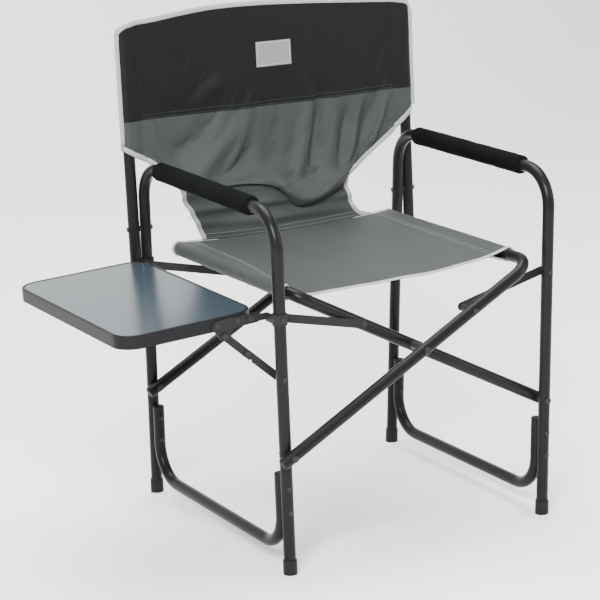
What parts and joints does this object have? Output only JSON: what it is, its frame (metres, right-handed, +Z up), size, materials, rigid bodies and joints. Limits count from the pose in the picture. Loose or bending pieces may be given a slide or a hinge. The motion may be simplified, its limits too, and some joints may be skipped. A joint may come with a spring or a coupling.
{
  "type": "folding chair",
  "caption": "Folding director chair with a steel tube frame, cloth seat and back, padded arms and a fold-down side table.",
  "frame": {"origin": "on the floor, in the middle of the whole object's box, side table included", "axes": "+Z up, -Y the way the sitter faces, -X towards the side table, on the sitter's right"},
  "size_m": [0.811, 0.538, 0.864],
  "materials": {
    "frame_paint": "satin",
    "foam": "matte",
    "black_plastic": "matte",
    "grey_cloth": "woven",
    "charcoal_cloth": "woven",
    "piping_cloth": "woven",
    "rim_plastic": "satin",
    "table_laminate": "gloss",
    "bracket_steel": "satin",
    "fasteners": "satin"
  },
  "bodies": {
    "right_side": {"base_tube_right": "frame_paint", "back_post_right": "frame_paint", "arm_pad_right": "foam", "foot_caps_right": "black_plastic", "base_tube_plugs_right": "black_plastic", "post_plugs_right": "black_plastic", "base_rivets_right": "fasteners", "post_rivets_right": "fasteners", "lower_pivot_bolts_right": "fasteners", "link_bolts_right": "fasteners", "table_collars": "bracket_steel", "strut_foot_bolts": "fasteners", "arm_tube_right": "frame_paint", "back_sling": "grey_cloth"},
    "left_side": {"base_tube_left": "frame_paint", "back_post_left": "frame_paint", "arm_pad_left": "foam", "foot_caps_left": "black_plastic", "base_tube_plugs_left": "black_plastic", "post_plugs_left": "black_plastic", "base_rivets_left": "fasteners", "post_rivets_left": "fasteners", "lower_pivot_bolts_left": "fasteners", "link_bolts_left": "fasteners", "arm_tube_left": "frame_paint"},
    "outer_frame": {"centre_pivot_bolts": "fasteners", "outer_link_studs": "fasteners", "outer_seat_frame": "frame_paint", "outer_frame_plugs": "black_plastic", "seat_sling": "grey_cloth"},
    "inner_frame": {"inner_link_studs": "fasteners", "inner_seat_frame": "frame_paint", "inner_frame_plugs": "black_plastic"},
    "right_links": {"link_right_front": "bracket_steel", "link_right_rear": "bracket_steel", "link_rivets_right": "fasteners"},
    "left_links": {"link_left_front": "bracket_steel", "link_left_rear": "bracket_steel", "link_rivets_left": "fasteners"},
    "table": {"table_rim": "rim_plastic", "table_board": "table_laminate", "table_brackets": "bracket_steel", "table_bracket_screws": "fasteners", "table_hinge_pins": "fasteners", "strut_top_pins": "fasteners"},
    "strut_lower": {"strut_lower_front": "bracket_steel", "strut_lower_rear": "bracket_steel", "strut_rivets_lower": "fasteners"},
    "strut_upper": {"strut_upper_front": "bracket_steel", "strut_upper_rear": "bracket_steel", "strut_rivets_upper": "fasteners"}
  },
  "joints": [
    {"name": "fold", "type": "hinge", "parent": "right_side", "child": "outer_frame", "pos_m": [-0.14055, 0.01334, 0.205], "axis": [0, -1, 0], "range_deg": [0, 51.5], "deforming": ["seat_sling", "back_sling"]},
    {"name": "centre_pivot", "type": "hinge", "parent": "outer_frame", "child": "inner_frame", "pos_m": [0.1122, 0.01334, 0.34121], "axis": [0, 1, 0], "range_deg": [0, 103]},
    {"name": "left_side_pivot", "type": "hinge", "parent": "inner_frame", "child": "left_side", "pos_m": [0.36496, 0.01334, 0.205], "axis": [0, -1, 0], "range_deg": [0, 51.5]},
    {"name": "right_link_pivot", "type": "hinge", "parent": "right_side", "child": "right_links", "pos_m": [-0.14468, 0.01334, 0.43], "axis": [0, -1, 0], "range_deg": [0, 90.72]},
    {"name": "left_link_pivot", "type": "hinge", "parent": "left_side", "child": "left_links", "pos_m": [0.36909, 0.01334, 0.43], "axis": [0, 1, 0], "range_deg": [0, 90.72]},
    {"name": "table_fold", "type": "hinge", "parent": "right_side", "child": "table", "pos_m": [-0.1848, 0.01334, 0.4325], "axis": [0, -1, 0], "range_deg": [0, 90]},
    {"name": "strut_foot_pivot", "type": "hinge", "parent": "right_side", "child": "strut_lower", "pos_m": [-0.14288, 0.01334, 0.332], "axis": [0, 1, 0], "range_deg": [0, 75.43]},
    {"name": "strut_top_pivot", "type": "hinge", "parent": "table", "child": "strut_upper", "pos_m": [-0.2308, 0.01334, 0.411], "axis": [0, 1, 0], "range_deg": [0, 42.22]}
  ],
  "couplings": [
    {"joint": "centre_pivot", "follows": "fold", "ratio": 2},
    {"joint": "left_side_pivot", "follows": "fold", "ratio": 1},
    {"joint": "right_link_pivot", "follows": "fold", "ratio": 1.7614},
    {"joint": "left_link_pivot", "follows": "fold", "ratio": 1.7614},
    {"joint": "strut_foot_pivot", "follows": "table_fold", "ratio": 0.83798},
    {"joint": "strut_top_pivot", "follows": "table_fold", "ratio": 0.469}
  ]
}
